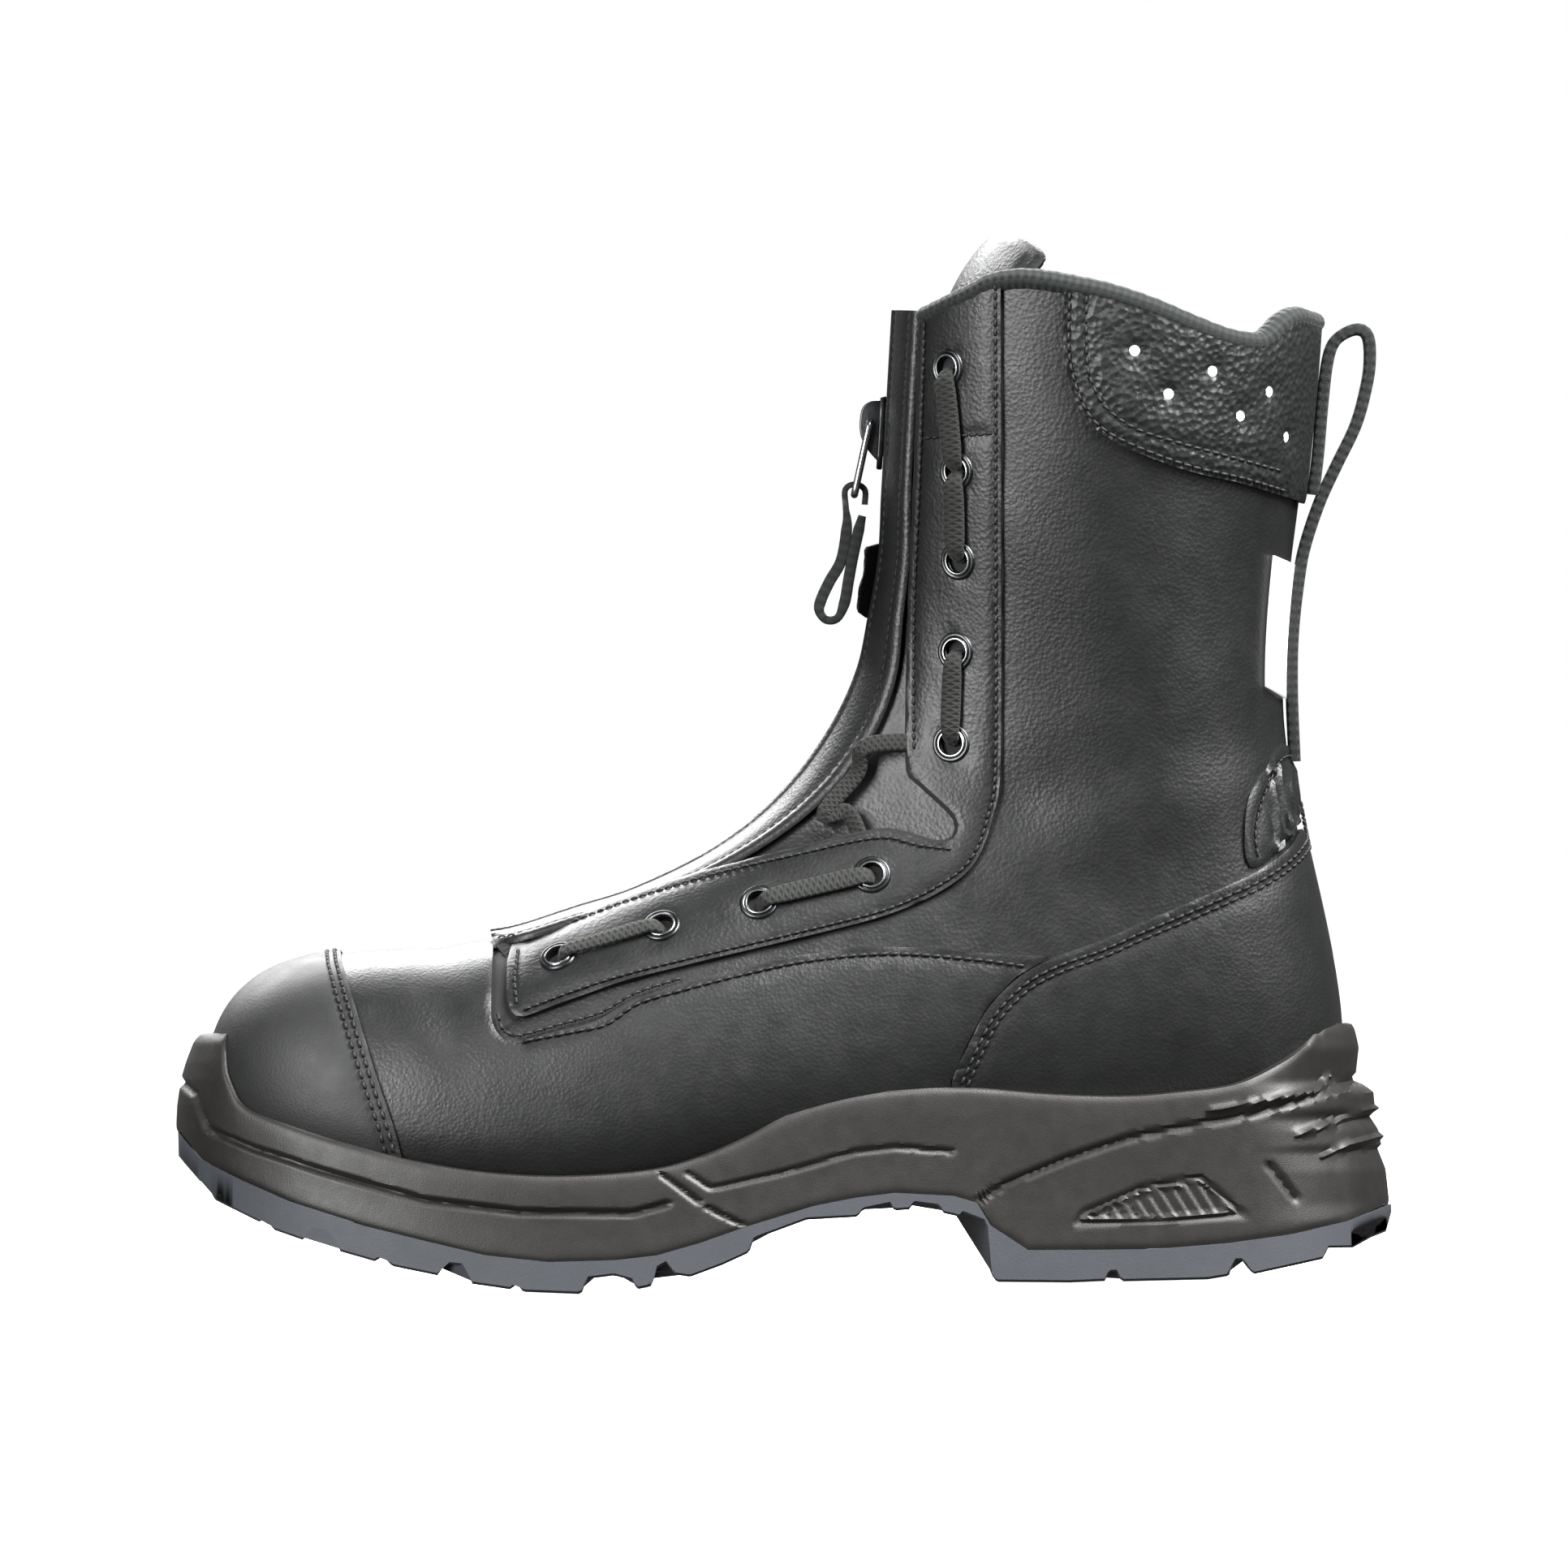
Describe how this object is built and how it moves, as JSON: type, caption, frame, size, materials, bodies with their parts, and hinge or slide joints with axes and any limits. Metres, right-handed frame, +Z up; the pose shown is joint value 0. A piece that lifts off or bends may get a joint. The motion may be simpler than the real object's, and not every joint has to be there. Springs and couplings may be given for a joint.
{
  "type": "fire station boot",
  "caption": "Black leather lace-in zipper fire station boot with safety toe, padded collar and pull loop, left foot.",
  "frame": {"origin": "middle of the boot's length and width, on the ground plane under the soles", "axes": "+X from toe to heel, -Y to the outer side, +Z up"},
  "size_m": [0.3119, 0.1108, 0.2695],
  "materials": {
    "outsole_rubber": "matt moulded rubber",
    "midsole_foam": "fine satin moulded foam",
    "spring_steel": "brushed",
    "board": "fibre board",
    "footbed_fabric": "brushed fabric",
    "leather": "fine grained semi-gloss",
    "cap_leather": "smooth satin",
    "stiffener": "matt",
    "collar_leather": "pebble grained",
    "foam": "open foam",
    "binding": "knitted rib",
    "reflective": "retroreflective",
    "webbing": "woven webbing",
    "lining_fabric": "knitted mesh",
    "zip_tape": "woven tape",
    "zip_metal": "blackened",
    "gunmetal": "gunmetal plate",
    "hook_loop": "fuzzy loop",
    "lace": "flat braid"
  },
  "bodies": {
    "boot": {"outsole": "outsole_rubber", "midsole": "midsole_foam", "shank": "spring_steel", "insole_board": "board", "footbed": "footbed_fabric", "vamp": "leather", "toe_cap": "cap_leather", "safety_toe": "spring_steel", "quarter_outer": "leather", "quarter_inner": "leather", "heel_counter": "leather", "heel_stiffener": "stiffener", "facing_outer": "leather", "facing_inner": "leather", "collar_outer": "collar_leather", "collar_inner": "collar_leather", "collar_foam": "foam", "top_binding": "binding", "achilles_panel": "collar_leather", "reflective_strip": "reflective", "pull_loop": "webbing", "lining": "lining_fabric", "tongue": "collar_leather", "zip_panel_outer": "leather", "zip_panel_inner": "leather", "zip_tape_outer": "zip_tape", "zip_tape_inner": "zip_tape", "zip_teeth_outer": "zip_metal", "zip_teeth_inner": "zip_metal", "zip_stops": "zip_metal", "hook_patch": "hook_loop", "eyelets_outer": "gunmetal", "eyelets_inner": "gunmetal", "lace_outer": "lace", "lace_inner": "lace"},
    "slider": {"zip_slider": "gunmetal"},
    "puller": {"zip_puller": "gunmetal"},
    "tab": {"pull_tab": "webbing"}
  },
  "joints": [
    {"name": "zip_slide", "type": "slide", "parent": "boot", "child": "slider", "axis": [-0.0791, 0, -0.9969], "range_m": [0, 0.024]},
    {"name": "puller_swing", "type": "hinge", "parent": "slider", "child": "puller", "pos_m": [0.02612, 0, 0.22153], "axis": [0, 1, 0], "range_deg": [0, 120]},
    {"name": "tab_swing", "type": "hinge", "parent": "puller", "child": "tab", "pos_m": [0.02172, 0, 0.20303], "axis": [0, 1, 0], "range_deg": [-3, 45]}
  ]
}
